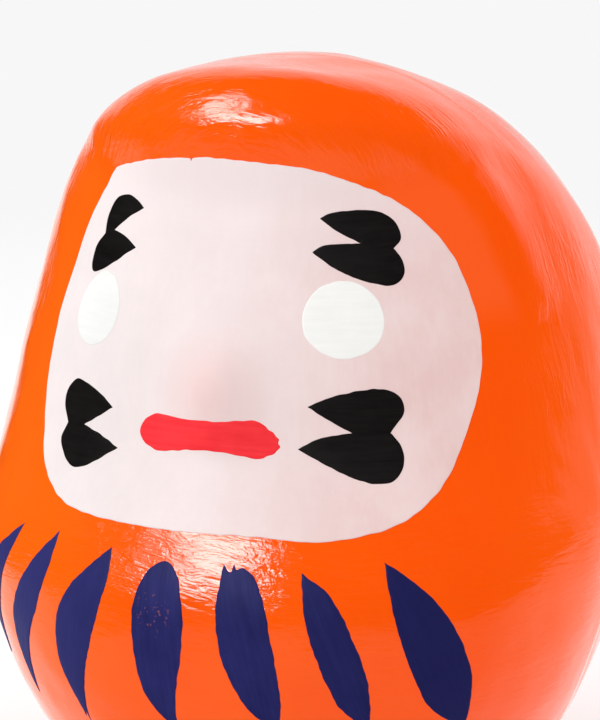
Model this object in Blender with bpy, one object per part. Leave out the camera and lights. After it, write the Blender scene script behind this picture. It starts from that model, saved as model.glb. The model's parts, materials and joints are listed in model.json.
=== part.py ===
"""Daruma doll: a hollow papier-mache tumbler doll with a sunken painted face.

It is put together the way the craft does it.  Two moulded paper half shells are
glued edge to edge under pasted seam strips, a clay weight sits on the floor of
the hollow body, a pasteboard disc plugs the opening in the base and a sheet of
paper is pasted over it.  The painted face and the brush marks are thin films
laid on the outside, one node for each patch of colour.

Lengths below are millimetres and become metres when a mesh is made.  The doll
stands on z = 0 and looks along -Y, so its own left-hand side is +X.
"Azimuth" is in degrees around the upright axis, zero where the doll looks and
positive towards its left.  "Level" is the height a point would have on the
plain egg-shaped body, before the face is hollowed out of it.  Painted outlines
are given by azimuth and by true height up a reference line a little to one side
of the nose.
"""
import bisect
import math

import bmesh
import bpy
from mathutils import Vector
from mathutils.geometry import delaunay_2d_cdt

MM = 0.001

# Body: a fat upright egg cut off flat at the foot
HEIGHT = 149.9
HALF_WIDTH = 65.3
HALF_DEPTH_FRONT = 58.0
HALF_DEPTH_REAR = 65.2
EGG_HALF_HEIGHT = 82.7
EGG_CENTRE = HEIGHT - EGG_HALF_HEIGHT
ROUNDNESS_UPPER = 2.25
ROUNDNESS_LOWER = 2.12

# Hollow that carries the face; its rim is crisper under the brow than below
FACE_LEVEL = 95.0
FACE_ABOVE = 36.0
FACE_BELOW = 29.5
FACE_HALF_AZIMUTH = 85.0
FACE_DEPTH = 10.3
FACE_EDGE_UPPER = 0.35
FACE_EDGE_LOWER = 0.60
FACE_EDGE_BLEND = 0.15
FACE_SQUARENESS = 2.5

# Brow ridge: it overhangs the face, so it falls away faster below than above
RIDGE_SIZE = 10.5
RIDGE_LEVEL = 135.3
RIDGE_ABOVE = 11.7
RIDGE_BELOW = 3.6
RIDGE_SHARPNESS = 2.3
RIDGE_FRONTNESS = 1.7

# Soft swellings: (size, level, spread in level)
BELLY = (3.9, 34.5, 30.0)
SHOULDERS = (2.2, 85.0, 35.0)
CROWN_BLEND_GIRTH = 0.5
CROWN_FRONTNESS = 0.5
NOSE_SIZE = 4.0
NOSE_LEVEL = 92.0
NOSE_SPREAD_AZIMUTH = 8.6
NOSE_SPREAD_LEVEL = 11.5

# Line up the body along which heights of painted outlines are measured
REFERENCE_AZIMUTH = 20.0
REFERENCE_STEPS = 600

# Paper shell
WALL = 2.2
SHELL_GAP = 0.15
FOOT_LEVEL = 5.0
OPENING_RADIUS = 30.0
FOOT_HEIGHT = 0.9
FOOT_EDGE = ((2.2, 1.5), (5.0, 0.0))
FLOOR_EDGE = ((4.6, 1.3), (7.2, 0.0))
FRONT_COLUMNS = 40
FRONT_ROWS = 36
REAR_COLUMNS = 24
REAR_ROWS = 24

# Seam strips pasted over the joint between the halves
SEAM_HALF_WIDTH = 6.0
SEAM_LIFT = (0.4, 0.8)
SEAM_TOP_LEVEL = 128.0
SEAM_BOTTOM_LEVEL = 8.0
SEAM_ROWS = 18
CROWN_STRIP_HALF_LENGTH = 46.3
CROWN_STRIP_ROWS = 24

# Base: pasteboard plug, clay weight and pasted paper
DISC_RADIUS = 29.6
DISC_BOTTOM = 0.9
DISC_TOP = 2.9
CLAY_RADIUS = 33.0
CLAY_BOTTOM = 3.4
CLAY_RIM_HEIGHT = 3.0
CLAY_CAP_HEIGHT = 13.0
CLAY_CAP_RINGS = 7
CLAY_CORNER = 1.0
BASE_PAPER_RADIUS = 34.0
BASE_PAPER_THICKNESS = 0.5
ROUND_SEGMENTS = 48
CREASE_ANGLE = 40.0

# Paint films: (underside, outside) above the body surface
FACE_LIFT = (0.7, 1.15)
MARK_LIFT = (1.6, 2.05)
STROKE_LIFT = (0.45, 0.9)
FILM_MM_PER_DEGREE = 1.05
FILM_CELL = 4.6
MARK_CELL = 4.5
CELL_ROW_PITCH = 0.87
CURVE_STEPS = 2
STROKE_CURVE_STEPS = 3
CELL_EDGE_CLEARANCE = 0.55

# Colours: (red, green, blue) in linear light, and roughness
ORANGE = ((0.93, 0.105, 0.008), 0.22)
PINK = ((0.84, 0.70, 0.70), 0.45)
WHITE = ((0.86, 0.86, 0.83), 0.42)
BLACK = ((0.008, 0.006, 0.006), 0.40)
RED = ((0.80, 0.025, 0.035), 0.42)
NAVY = ((0.020, 0.022, 0.105), 0.38)
PASTEBOARD = ((0.42, 0.34, 0.24), 0.85)
CLAY = ((0.36, 0.25, 0.17), 0.90)
PLAIN_PAPER = ((0.72, 0.68, 0.58), 0.80)

# Outlines of the painted areas.  Every point is (azimuth, height); an outline is
# a list of runs, smooth along a run and cornered where one run meets the next.
FACE_OUTLINE = [
    (-42, 127), (-38, 129.6), (-31, 131), (-20, 132.4), (-6, 133.2), (8, 132.5),
    (20, 131.4), (30, 129.4), (40, 125), (49, 118.6), (56, 111), (60, 101),
    (58.5, 92), (54, 84), (48, 74.6), (41, 68.6), (33, 65.2), (22, 63.3),
    (8, 63.9), (-8, 63.8), (-24, 64.5), (-34, 66.4), (-43, 71.6), (-49, 79),
    (-52, 90), (-54, 101), (-52.5, 109.5), (-48, 119),
]
EYE_CORNERS = 24
RIGHT_EYE = (-36.4, 102.0, 7.6, 6.8)
LEFT_EYE = (27.0, 103.4, 9.1, 7.1)
RIGHT_BROW = [
    [(-27, 121.8), (-30, 123.1), (-34, 123.7), (-38, 122.4), (-40.5, 119), (-40.6, 115.4)],
    [(-40.6, 115.4), (-43.6, 112.5), (-44, 109.6), (-42, 108.8), (-37, 110.2), (-28, 114.2)],
    [(-28, 114.2), (-32, 115.8), (-37, 116.5)],
    [(-37, 116.5), (-32, 119.5), (-27, 121.8)],
]
LEFT_BROW = [
    [(22, 122), (25.5, 123), (31, 123.2), (37, 122.5), (41, 120), (42, 117), (40, 115.4)],
    [(40, 115.4), (42, 113), (42, 110.6), (39, 109.2), (34, 109.8), (27, 112), (20, 115.8)],
    [(20, 115.8), (24, 117.1), (32, 116.9)],
    [(32, 116.9), (26.5, 119.4), (22, 122)],
]
RIGHT_WHISKERS = [
    [(-26, 84.2), (-30, 86.3), (-35, 87.8), (-39, 88), (-42, 85.6), (-42, 82.6), (-39.4, 79.4)],
    [(-39.4, 79.4), (-40.2, 76.6), (-38.4, 74.4), (-34.5, 72.2), (-30, 72.6), (-23, 76.8)],
    [(-23, 76.8), (-27.5, 78.4), (-34, 79.8)],
    [(-34, 79.8), (-30, 82), (-26, 84.2)],
]
LEFT_WHISKERS = [
    [(19, 87.4), (23, 89), (28, 90.1), (33.5, 90.6), (37.5, 89.6), (39.2, 86.4), (36, 82.3)],
    [(36, 82.3), (38, 79.6), (38, 76.4), (36, 73.9), (32.5, 73.2), (27, 74.6), (17, 79.4)],
    [(17, 79.4), (21.5, 81.5), (28, 82.5)],
    [(28, 82.5), (23.5, 84.8), (19, 87.4)],
]
MOUTH = [
    (-18, 81), (-16.5, 83.4), (-13, 84.4), (-6, 83.7), (2, 83.6), (8, 84.4),
    (11.5, 82.8), (13.3, 80.8), (12.4, 78.8), (9, 77.4), (2, 78.2), (-5, 78.2),
    (-13, 77.5), (-17, 79),
]
# Brush strokes below the face, from the doll's right round to its left
STROKES = [
    [
        [(-41, 60.2), (-43.6, 54.6), (-48, 47), (-52.4, 39), (-57, 29)],
        [(-57, 29), (-59.6, 37), (-58, 45.5), (-50, 53.4), (-41, 60.2)],
    ],
    [
        [(-30, 60.6), (-30.6, 54), (-34.6, 44.6), (-40, 35.6), (-44.3, 24)],
        [(-44.3, 24), (-45.2, 35), (-44, 42), (-38, 51), (-30, 60.6)],
    ],
    [
        [(-17, 59.6), (-16.8, 53), (-20, 42.6), (-24, 32.3), (-27.3, 22.5)],
        [(-27.3, 22.5), (-30, 34), (-28.8, 43.5), (-24.4, 51.6), (-17, 59.6)],
    ],
    [
        [(-7.6, 26), (-10.6, 32), (-11.4, 40), (-11.2, 49), (-9.4, 55.4), (-6, 58.4),
         (-3.2, 55.8), (-1.8, 48.5), (-2.6, 39.5), (-4.6, 32), (-7.6, 26)],
    ],
    [
        [(6.3, 58.9), (9.8, 57), (11.8, 52), (13.2, 43), (14.3, 34), (14.2, 26)],
        [(14.2, 26), (8.6, 31), (4.8, 40), (3.8, 50), (4.8, 58.7)],
        [(4.8, 58.7), (5.5, 57.6)],
        [(5.5, 57.6), (6.3, 58.9)],
    ],
    [
        [(18, 57.8), (22.8, 53.4), (26.4, 45), (29.2, 36), (30.2, 26)],
        [(30.2, 26), (24.4, 31.6), (20.4, 41.4), (18.4, 50), (18, 57.8)],
    ],
    [
        [(32, 59.8), (38.6, 54.2), (44, 46.4), (48.2, 36), (49.2, 25)],
        [(49.2, 25), (41, 30.2), (36, 40), (33, 50.6), (32, 59.8)],
    ],
]


def clear_scene():
    """Leave nothing behind from an earlier build."""
    for item in list(bpy.data.objects):
        bpy.data.objects.remove(item, do_unlink=True)


def smoothstep(value):
    value = min(1.0, max(0.0, value))
    return value * value * (3.0 - 2.0 * value)


def bell(offset, spread):
    return math.exp(-(offset / spread) ** 2)


def swelling(azimuth, level):
    """How far the moulded features stand out of the plain egg, in millimetres."""
    ahead = max(0.0, math.cos(math.radians(azimuth)))
    clear_of_crown = smoothstep(girth(level) / CROWN_BLEND_GIRTH)
    frontness = CROWN_FRONTNESS + (ahead - CROWN_FRONTNESS) * clear_of_crown
    across = abs(azimuth / FACE_HALF_AZIMUTH)
    climb = (level - FACE_LEVEL) / (FACE_ABOVE if level > FACE_LEVEL else FACE_BELOW)
    ring = (across ** FACE_SQUARENESS + abs(climb) ** FACE_SQUARENESS) ** (1.0 / FACE_SQUARENESS)
    upper = 1.0 / (1.0 + math.exp(-climb / FACE_EDGE_BLEND))
    edge = FACE_EDGE_LOWER + (FACE_EDGE_UPPER - FACE_EDGE_LOWER) * upper
    hollow = 1.0 - smoothstep((ring - 1.0 + edge) / (2.0 * edge))
    spread = RIDGE_ABOVE if level > RIDGE_LEVEL else RIDGE_BELOW
    ridge = RIDGE_SIZE * math.exp(-abs((level - RIDGE_LEVEL) / spread) ** RIDGE_SHARPNESS)
    ridge *= frontness ** RIDGE_FRONTNESS
    size, centre, spread = BELLY
    belly = size * bell(level - centre, spread) * math.sqrt(frontness)
    size, centre, spread = SHOULDERS
    shoulders = size * bell(level - centre, spread) * (1.0 - frontness)
    nose = NOSE_SIZE * bell(azimuth, NOSE_SPREAD_AZIMUTH) * bell(level - NOSE_LEVEL, NOSE_SPREAD_LEVEL)
    return ridge + belly + shoulders + nose - FACE_DEPTH * hollow


def girth(level):
    """Size of the plain egg at a level, as a fraction of its widest girth."""
    rise = (level - EGG_CENTRE) / EGG_HALF_HEIGHT
    power = ROUNDNESS_UPPER if rise > 0.0 else ROUNDNESS_LOWER
    return max(0.0, 1.0 - abs(rise) ** power) ** (1.0 / power)


def skin(azimuth, level, lift=0.0):
    """Point of the outside of the body, moved outwards by lift."""
    turn = math.radians(azimuth)
    depth = HALF_DEPTH_FRONT if math.cos(turn) > 0.0 else HALF_DEPTH_REAR
    x = HALF_WIDTH * girth(level) * math.sin(turn)
    y = -depth * girth(level) * math.cos(turn)
    z = level - EGG_CENTRE
    wrapped = (azimuth + 180.0) % 360.0 - 180.0
    grow = 1.0 + (swelling(wrapped, level) + lift) / math.sqrt(x * x + y * y + z * z)
    return Vector((x * grow, y * grow, z * grow + EGG_CENTRE))


def skin_above(x, y):
    """Azimuth and level of the upper-body point that stands over plan point x, y."""
    depth = HALF_DEPTH_FRONT if y < 0.0 else HALF_DEPTH_REAR
    share = math.hypot(x / HALF_WIDTH, y / depth)
    azimuth = math.degrees(math.atan2(x / HALF_WIDTH, -y / depth))
    rise = max(0.0, 1.0 - share ** ROUNDNESS_UPPER) ** (1.0 / ROUNDNESS_UPPER)
    return azimuth, EGG_CENTRE + EGG_HALF_HEIGHT * rise


def height_table():
    """Matching lists of height and level, climbing the reference line."""
    levels = [(HEIGHT - 0.1) * step / REFERENCE_STEPS for step in range(REFERENCE_STEPS + 1)]
    return [skin(REFERENCE_AZIMUTH, level).z for level in levels], levels


HEIGHTS, LEVELS = height_table()


def level_at(height):
    """Level of the point that stands at this height on the reference line."""
    index = min(max(bisect.bisect_left(HEIGHTS, height), 1), len(HEIGHTS) - 1)
    below, above = HEIGHTS[index - 1], HEIGHTS[index]
    share = (height - below) / (above - below)
    return LEVELS[index - 1] + share * (LEVELS[index] - LEVELS[index - 1])


def even_levels(azimuth, top, bottom, rows):
    """Levels of evenly spaced rows, measured along the body from top to bottom."""
    fine = [top + (bottom - top) * step / REFERENCE_STEPS for step in range(REFERENCE_STEPS + 1)]
    places = [skin(azimuth, level) for level in fine]
    walked = [0.0]
    for start, end in zip(places, places[1:]):
        walked.append(walked[-1] + (end - start).length)
    picked = []
    for row in range(1, rows + 1):
        index = min(bisect.bisect_left(walked, walked[-1] * row / rows), REFERENCE_STEPS)
        picked.append(fine[index])
    return picked


def make_material(name, look):
    colour, roughness = look
    material = bpy.data.materials.new(name)
    material.use_nodes = True
    surface = material.node_tree.nodes["Principled BSDF"]
    surface.inputs["Base Color"].default_value = (*colour, 1.0)
    surface.inputs["Roughness"].default_value = roughness
    surface.inputs["Metallic"].default_value = 0.0
    material.diffuse_color = (*colour, 1.0)
    return material


def add_object(name, points, faces, look):
    """Make one named solid, its faces turned outwards, with its own material."""
    shape = bmesh.new()
    corners = [shape.verts.new(point * MM) for point in points]
    for face in faces:
        shape.faces.new([corners[index] for index in face])
    bmesh.ops.recalc_face_normals(shape, faces=shape.faces)
    mesh = bpy.data.meshes.new(name)
    shape.to_mesh(mesh)
    shape.free()
    mesh.shade_smooth()
    mesh.set_sharp_from_angle(angle=math.radians(CREASE_ANGLE))
    mesh.materials.append(make_material(name + "_material", look))
    item = bpy.data.objects.new(name, mesh)
    bpy.context.scene.collection.objects.link(item)
    return item


def foot_point(azimuth, inset, height):
    """Point of the rounded foot: the lowest ring of the body moved in and down."""
    edge = skin(azimuth, FOOT_LEVEL)
    radius = math.hypot(edge.x, edge.y)
    return Vector((edge.x * (radius - inset) / radius, edge.y * (radius - inset) / radius, height))


def rim_point(azimuth, height):
    """Point of the round opening in the base."""
    turn = math.radians(azimuth)
    return Vector((OPENING_RADIUS * math.sin(turn), -OPENING_RADIUS * math.cos(turn), height))


def half_shell(name, centre_azimuth, columns, rows, shift):
    """One moulded half: outside, turned-in foot, opening edge and inside."""
    azimuths = [centre_azimuth - 90.0 + 180.0 * step / columns for step in range(columns + 1)]
    levels = even_levels(centre_azimuth, HEIGHT, FOOT_LEVEL, rows)
    points = []
    layers = []
    for inside in (False, True):
        lift = -WALL if inside else 0.0
        points.append(skin(centre_azimuth, HEIGHT, lift))
        layer = [[len(points) - 1] * (columns + 1)]
        rings = [[skin(azimuth, level, lift) for azimuth in azimuths] for level in levels]
        if inside:
            edge, flat = FLOOR_EDGE, FOOT_HEIGHT + WALL
        else:
            edge, flat = FOOT_EDGE, FOOT_HEIGHT
        for inset, rise in edge:
            rings.append([foot_point(azimuth, inset, flat + rise) for azimuth in azimuths])
        rings.append([rim_point(azimuth, flat) for azimuth in azimuths])
        for ring in rings:
            layer.append(list(range(len(points), len(points) + len(ring))))
            points.extend(ring)
        layers.append(layer)
    outer, inner = layers
    faces = []
    for layer in layers:
        for upper, lower in zip(layer, layer[1:]):
            for left in range(columns):
                faces.append([upper[left], upper[left + 1], lower[left + 1], lower[left]])
    for column in (0, columns):
        for row in range(len(outer) - 1):
            faces.append([outer[row][column], outer[row + 1][column],
                          inner[row + 1][column], inner[row][column]])
    for left in range(columns):
        faces.append([outer[-1][left], outer[-1][left + 1], inner[-1][left + 1], inner[-1][left]])
    faces = [list(dict.fromkeys(face)) for face in faces]
    for point in points:
        point.y += shift
    return add_object(name, points, faces, ORANGE)


def strip(name, grid, lift, look):
    """A pasted strip: a grid of (azimuth, level) given a thickness."""
    rows = len(grid)
    columns = len(grid[0])
    points = [skin(*place, side) for side in lift for line in grid for place in line]
    faces = []
    for side in range(2):
        for row in range(rows - 1):
            for column in range(columns - 1):
                corner = side * rows * columns + row * columns + column
                faces.append([corner, corner + 1, corner + columns + 1, corner + columns])
    edge = [column for column in range(columns)]
    edge += [row * columns + columns - 1 for row in range(1, rows)]
    edge += [(rows - 1) * columns + column for column in range(columns - 2, -1, -1)]
    edge += [row * columns for row in range(rows - 2, 0, -1)]
    below = rows * columns
    for start, end in zip(edge, edge[1:] + edge[:1]):
        faces.append([start, end, end + below, start + below])
    return add_object(name, points, faces, look)


def side_seam(name, centre_azimuth):
    """Seam strip up one side of the body."""
    levels = [SEAM_TOP_LEVEL]
    levels += even_levels(centre_azimuth, SEAM_TOP_LEVEL, SEAM_BOTTOM_LEVEL, SEAM_ROWS)
    grid = []
    for level in levels:
        spread = math.degrees(SEAM_HALF_WIDTH / (HALF_WIDTH * girth(level)))
        grid.append([(centre_azimuth + spread * step / 2.0, level) for step in range(-2, 3)])
    return strip(name, grid, SEAM_LIFT, ORANGE)


def crown_seam(name):
    """Seam strip over the top of the head."""
    grid = []
    for row in range(CROWN_STRIP_ROWS + 1):
        x = CROWN_STRIP_HALF_LENGTH * math.sin(math.pi * (row / CROWN_STRIP_ROWS - 0.5))
        grid.append([skin_above(x, SEAM_HALF_WIDTH * step / 2.0) for step in range(-2, 3)])
    return strip(name, grid, SEAM_LIFT, ORANGE)


def turned(name, profile, look):
    """A solid of revolution about the upright axis, closed by a flat disc at each end."""
    points = []
    rings = []
    for radius, height in profile:
        ring = []
        for step in range(ROUND_SEGMENTS):
            turn = 2.0 * math.pi * step / ROUND_SEGMENTS
            ring.append(len(points))
            points.append(Vector((radius * math.cos(turn), radius * math.sin(turn), height)))
        rings.append(ring)
    faces = [rings[0], rings[-1]]
    for lower, upper in zip(rings, rings[1:]):
        for step in range(ROUND_SEGMENTS):
            after = (step + 1) % ROUND_SEGMENTS
            faces.append([lower[step], lower[after], upper[after], upper[step]])
    return add_object(name, points, faces, look)


def clay_profile():
    """Flat underneath, a short upright rim, then a shallow dome."""
    sphere = (CLAY_RADIUS ** 2 + CLAY_CAP_HEIGHT ** 2) / (2.0 * CLAY_CAP_HEIGHT)
    half_angle = math.asin(CLAY_RADIUS / sphere)
    rim = CLAY_BOTTOM + CLAY_RIM_HEIGHT
    crown = rim + CLAY_CAP_HEIGHT
    profile = [(CLAY_RADIUS - CLAY_CORNER, CLAY_BOTTOM), (CLAY_RADIUS, CLAY_BOTTOM + CLAY_CORNER)]
    for ring in range(CLAY_CAP_RINGS):
        angle = half_angle * (1.0 - ring / CLAY_CAP_RINGS)
        profile.append((sphere * math.sin(angle), crown - sphere * (1.0 - math.cos(angle))))
    return profile


def disc_profile(radius, bottom, top):
    return [(radius, bottom), (radius, top)]


def smooth_run(points, steps, closed=False):
    """Curve through the given points; its last point is left to the next run."""
    count = len(points)
    path = []
    for index in range(count if closed else count - 1):
        if closed:
            before, start, end, after = (points[(index + step) % count] for step in (-1, 0, 1, 2))
        else:
            before = points[max(index - 1, 0)]
            start, end = points[index], points[index + 1]
            after = points[min(index + 2, count - 1)]
        for step in range(steps):
            t = step / steps
            path.append(tuple(
                0.5 * (2 * b + (c - a) * t + (2 * a - 5 * b + 4 * c - d) * t * t
                       + (3 * b - a - 3 * c + d) * t ** 3)
                for a, b, c, d in zip(before, start, end, after)
            ))
    return path


def cornered(runs, steps):
    return [point for run in runs for point in smooth_run(run, steps)]


def oval(azimuth, height, half_azimuth, half_height):
    """Outline of an eye."""
    turns = [2.0 * math.pi * step / EYE_CORNERS for step in range(EYE_CORNERS)]
    return [(azimuth + half_azimuth * math.cos(t), height + half_height * math.sin(t)) for t in turns]


def is_inside(x, y, outline):
    inside = False
    for (ax, ay), (bx, by) in zip(outline, outline[1:] + outline[:1]):
        if (ay > y) != (by > y) and x < (bx - ax) * (y - ay) / (by - ay) + ax:
            inside = not inside
    return inside


def edge_distance(x, y, outline):
    """Distance from a point to the nearest side of an outline."""
    nearest = math.inf
    for (ax, ay), (bx, by) in zip(outline, outline[1:] + outline[:1]):
        along = ((x - ax) * (bx - ax) + (y - ay) * (by - ay)) / ((bx - ax) ** 2 + (by - ay) ** 2)
        along = min(1.0, max(0.0, along))
        nearest = min(nearest, math.hypot(ax + along * (bx - ax) - x, ay + along * (by - ay) - y))
    return nearest


def film(name, outline, lift, cell, look):
    """A thin closed film of paint that follows the body inside an outline."""
    flat = [(azimuth * FILM_MM_PER_DEGREE, height) for azimuth, height in outline]
    left = min(point[0] for point in flat)
    bottom = min(point[1] for point in flat)
    across = int((max(point[0] for point in flat) - left) / cell) + 2
    upwards = int((max(point[1] for point in flat) - bottom) / (cell * CELL_ROW_PITCH)) + 2
    inner = []
    for row in range(upwards):
        for column in range(across):
            x = left + (column + 0.5 * (row % 2)) * cell
            y = bottom + row * cell * CELL_ROW_PITCH
            clear = edge_distance(x, y, flat) > CELL_EDGE_CLEARANCE * cell
            if clear and is_inside(x, y, flat):
                inner.append((x, y))
    rim = len(flat)
    sides = [(index, (index + 1) % rim) for index in range(rim)]
    plan = [Vector(point) for point in flat + inner]
    plan, _, triangles, _, _, _ = delaunay_2d_cdt(plan, sides, [], 1, 1e-5)
    points = []
    for side in lift:
        points += [skin(point.x / FILM_MM_PER_DEGREE, level_at(point.y), side) for point in plan]
    count = len(plan)
    faces = [list(face) for face in triangles]
    faces += [[index + count for index in face] for face in triangles]
    uses = {}
    for face in triangles:
        for start, end in zip(face, list(face[1:]) + [face[0]]):
            uses.setdefault(frozenset((start, end)), []).append((start, end))
    for pair in uses.values():
        if len(pair) == 1:
            start, end = pair[0]
            faces.append([start, end, end + count, start + count])
    return add_object(name, points, faces, look)


def build():
    clear_scene()
    half_shell("front_shell", 0.0, FRONT_COLUMNS, FRONT_ROWS, -SHELL_GAP)
    half_shell("rear_shell", 180.0, REAR_COLUMNS, REAR_ROWS, SHELL_GAP)
    side_seam("seam_paper_left", 90.0)
    side_seam("seam_paper_right", -90.0)
    crown_seam("seam_paper_crown")
    turned("base_disc", disc_profile(DISC_RADIUS, DISC_BOTTOM, DISC_TOP), PASTEBOARD)
    turned("clay_weight", clay_profile(), CLAY)
    turned("base_paper", disc_profile(BASE_PAPER_RADIUS, 0.0, BASE_PAPER_THICKNESS), PLAIN_PAPER)

    film("face_patch", smooth_run(FACE_OUTLINE, CURVE_STEPS, True), FACE_LIFT, FILM_CELL, PINK)
    film("left_eye", oval(*LEFT_EYE), MARK_LIFT, MARK_CELL, WHITE)
    film("right_eye", oval(*RIGHT_EYE), MARK_LIFT, MARK_CELL, WHITE)
    film("left_brow", cornered(LEFT_BROW, CURVE_STEPS), MARK_LIFT, MARK_CELL, BLACK)
    film("right_brow", cornered(RIGHT_BROW, CURVE_STEPS), MARK_LIFT, MARK_CELL, BLACK)
    film("left_whiskers", cornered(LEFT_WHISKERS, CURVE_STEPS), MARK_LIFT, MARK_CELL, BLACK)
    film("right_whiskers", cornered(RIGHT_WHISKERS, CURVE_STEPS), MARK_LIFT, MARK_CELL, BLACK)
    film("mouth", smooth_run(MOUTH, CURVE_STEPS, True), MARK_LIFT, MARK_CELL, RED)
    for number, runs in enumerate(STROKES, start=1):
        film("stroke_" + str(number), cornered(runs, STROKE_CURVE_STEPS), STROKE_LIFT, MARK_CELL, NAVY)


build()
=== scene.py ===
import json
import math

import bpy
import numpy as np
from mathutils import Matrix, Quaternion, Vector
from mathutils.geometry import delaunay_2d_cdt

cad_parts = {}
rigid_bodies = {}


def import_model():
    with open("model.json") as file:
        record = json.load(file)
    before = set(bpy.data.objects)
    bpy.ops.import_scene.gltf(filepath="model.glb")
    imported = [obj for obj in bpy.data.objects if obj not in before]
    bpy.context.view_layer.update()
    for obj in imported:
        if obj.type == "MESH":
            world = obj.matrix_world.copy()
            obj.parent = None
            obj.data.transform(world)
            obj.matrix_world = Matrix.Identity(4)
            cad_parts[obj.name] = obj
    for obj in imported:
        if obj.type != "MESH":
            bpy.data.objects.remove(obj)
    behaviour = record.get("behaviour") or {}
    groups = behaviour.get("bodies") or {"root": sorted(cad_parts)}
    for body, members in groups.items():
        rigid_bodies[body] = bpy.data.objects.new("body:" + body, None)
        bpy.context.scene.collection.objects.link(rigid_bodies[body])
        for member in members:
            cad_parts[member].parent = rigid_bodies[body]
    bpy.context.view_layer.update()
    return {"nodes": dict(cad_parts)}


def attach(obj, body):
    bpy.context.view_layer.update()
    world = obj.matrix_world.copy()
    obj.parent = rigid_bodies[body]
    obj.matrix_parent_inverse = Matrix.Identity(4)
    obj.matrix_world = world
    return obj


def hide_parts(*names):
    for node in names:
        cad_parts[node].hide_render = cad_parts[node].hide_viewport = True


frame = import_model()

# The daruma doll's looks: a brushed orange lacquer body, each painted patch as a
# thin film of its own, and a pale studio round them.
#
# Lengths are millimetres until a mesh is made; the stage is in metres.  Azimuth is
# in degrees round the upright axis, 0 where the doll looks and positive towards its
# left (+X).  Level is the height on the plain egg before the face is hollowed out
# of it.
MM = 0.001
TINY = 1e-9
RNG = np.random.default_rng(11)

# Body, the same as the CAD model's: a fat upright egg
HEIGHT = 149.9
HALF_WIDTH, HALF_DEPTH_FRONT, HALF_DEPTH_REAR = 65.3, 58.0, 65.2
EGG_HALF_HEIGHT = 82.7
EGG_CENTRE = HEIGHT - EGG_HALF_HEIGHT
ROUNDNESS_UPPER, ROUNDNESS_LOWER = 2.25, 2.12

# Hollow that carries the face; its rim is crisper under the brow than below
FACE_LEVEL, FACE_ABOVE, FACE_BELOW, FACE_HALF_AZIMUTH = 95.0, 36.0, 29.5, 85.0
FACE_DEPTH, FACE_SQUARENESS = 10.3, 2.5
FACE_EDGE_UPPER, FACE_EDGE_LOWER, FACE_EDGE_BLEND = 0.35, 0.60, 0.15

# Brow ridge: it overhangs the face, so it falls away faster below than above
RIDGE_SIZE, RIDGE_LEVEL, RIDGE_ABOVE, RIDGE_BELOW = 10.5, 135.3, 11.7, 3.6
RIDGE_SHARPNESS, RIDGE_FRONTNESS = 2.3, 1.7

# Soft swellings: (size, level, spread in level)
BELLY = (3.9, 34.5, 30.0)
SHOULDERS = (2.2, 85.0, 35.0)
CROWN_BLEND_GIRTH, CROWN_FRONTNESS = 0.5, 0.5
NOSE_SIZE, NOSE_LEVEL, NOSE_SPREAD_AZIMUTH, NOSE_SPREAD_LEVEL = 4.0, 92.0, 8.6, 11.5

# Paper shell, its foot and the opening in its base
WALL = 2.2
FOOT_LEVEL, FOOT_HEIGHT, OPENING_RADIUS = 5.0, 0.9, 30.0
FOOT_ROUNDING, FOOT_DRAW_IN, FOOT_STEPS = 5.0, 0.6, 8
INNER_FLOOR_SHARE = 0.92
BODY_COLUMNS, BODY_ROWS, INNER_ROWS = 320, 190, 40
ROW_STEPS, ROW_FIRST_STEP, ROW_AZIMUTHS = 2500, 0.002, (0.0, 20.0, 50.0, 90.0, 180.0)

# Line up the body along which heights of painted outlines are measured
REFERENCE_AZIMUTH, REFERENCE_STEPS, REFERENCE_TOP_GAP = 20.0, 3000, 0.1

# Rib at the hood's edge beside the face: (x, y, z, lift), and how far it spreads
CREST = ((29, -30, 137, 0.0), (35, -25, 133, 1.8), (40, -19, 127, 2.9),
         (45, -17, 120, 3.0), (51, -14, 107, 1.7), (54, -12, 99, 0.0))
CREST_REACH = 7.0

# Shallow dip where the crown was pressed
CROWN_DIP_PLACE, CROWN_DIP_DEPTH, CROWN_DIP_REACH = (11.0, 17.0, 148.0), 1.7, 17.0

# Hand-pasted unevenness: (number of waves, wavelength, size)
LUMP_SETS = ((12, 34.0, 0.10), (16, 13.0, 0.040), (20, 6.0, 0.012))

# Strips papered over the joint between the halves, which runs round the sides at y = 0
SEAM_HEIGHT, SEAM_HALF_WIDTH, SEAM_EDGE = 0.10, 6.5, 1.6

# Brush strokes: rings round the face in front, level strokes behind and on the robe
RING_CENTRE_HEIGHT, RING_LIFT = 97.0, 2.0
RING_RADIUS, RING_TURN_RADIUS = 62.0, 45.0
LEVEL_STROKE_WAVER, LEVEL_STROKE_WAVE = 2.5, 17.0
ROBE_TOP, ROBE_BLEND = 73.0, 7.0
REAR_START, REAR_BLEND = -5.0, 30.0

# Where the brush wrinkled the lacquer: (azimuth, height, reach round, reach up, gain)
WORKED_EVERYWHERE = 0.62
WORKED = ((-8.0, 59.0, 34.0, 9.0, 3.0), (-25.0, 139.0, 26.0, 7.0, 4.0),
          (95.0, 112.0, 26.0, 26.0, 1.2), (-78.0, 128.0, 16.0, 9.0, 1.2),
          (85.0, 48.0, 22.0, 20.0, 0.7), (60.0, 140.0, 60.0, 9.0, 1.0),
          (-70.0, 45.0, 18.0, 18.0, 0.6))

# Painted reflection: a paler sheen laid into the lacquer between the face and the hood's
# rib.  Where the rib's line ends on the crown as (height, azimuth), then edges as (place, softness)
SHEEN_CROWN_END = (139.5, 30.0)
SHEEN_RIB_EDGE, SHEEN_FACE_EDGE = (3.0, 4.0), (34.0, 12.0)
SHEEN_LOW_EDGE, SHEEN_HIGH_EDGE = (99.0, 9.0), (141.0, 4.0)

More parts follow.
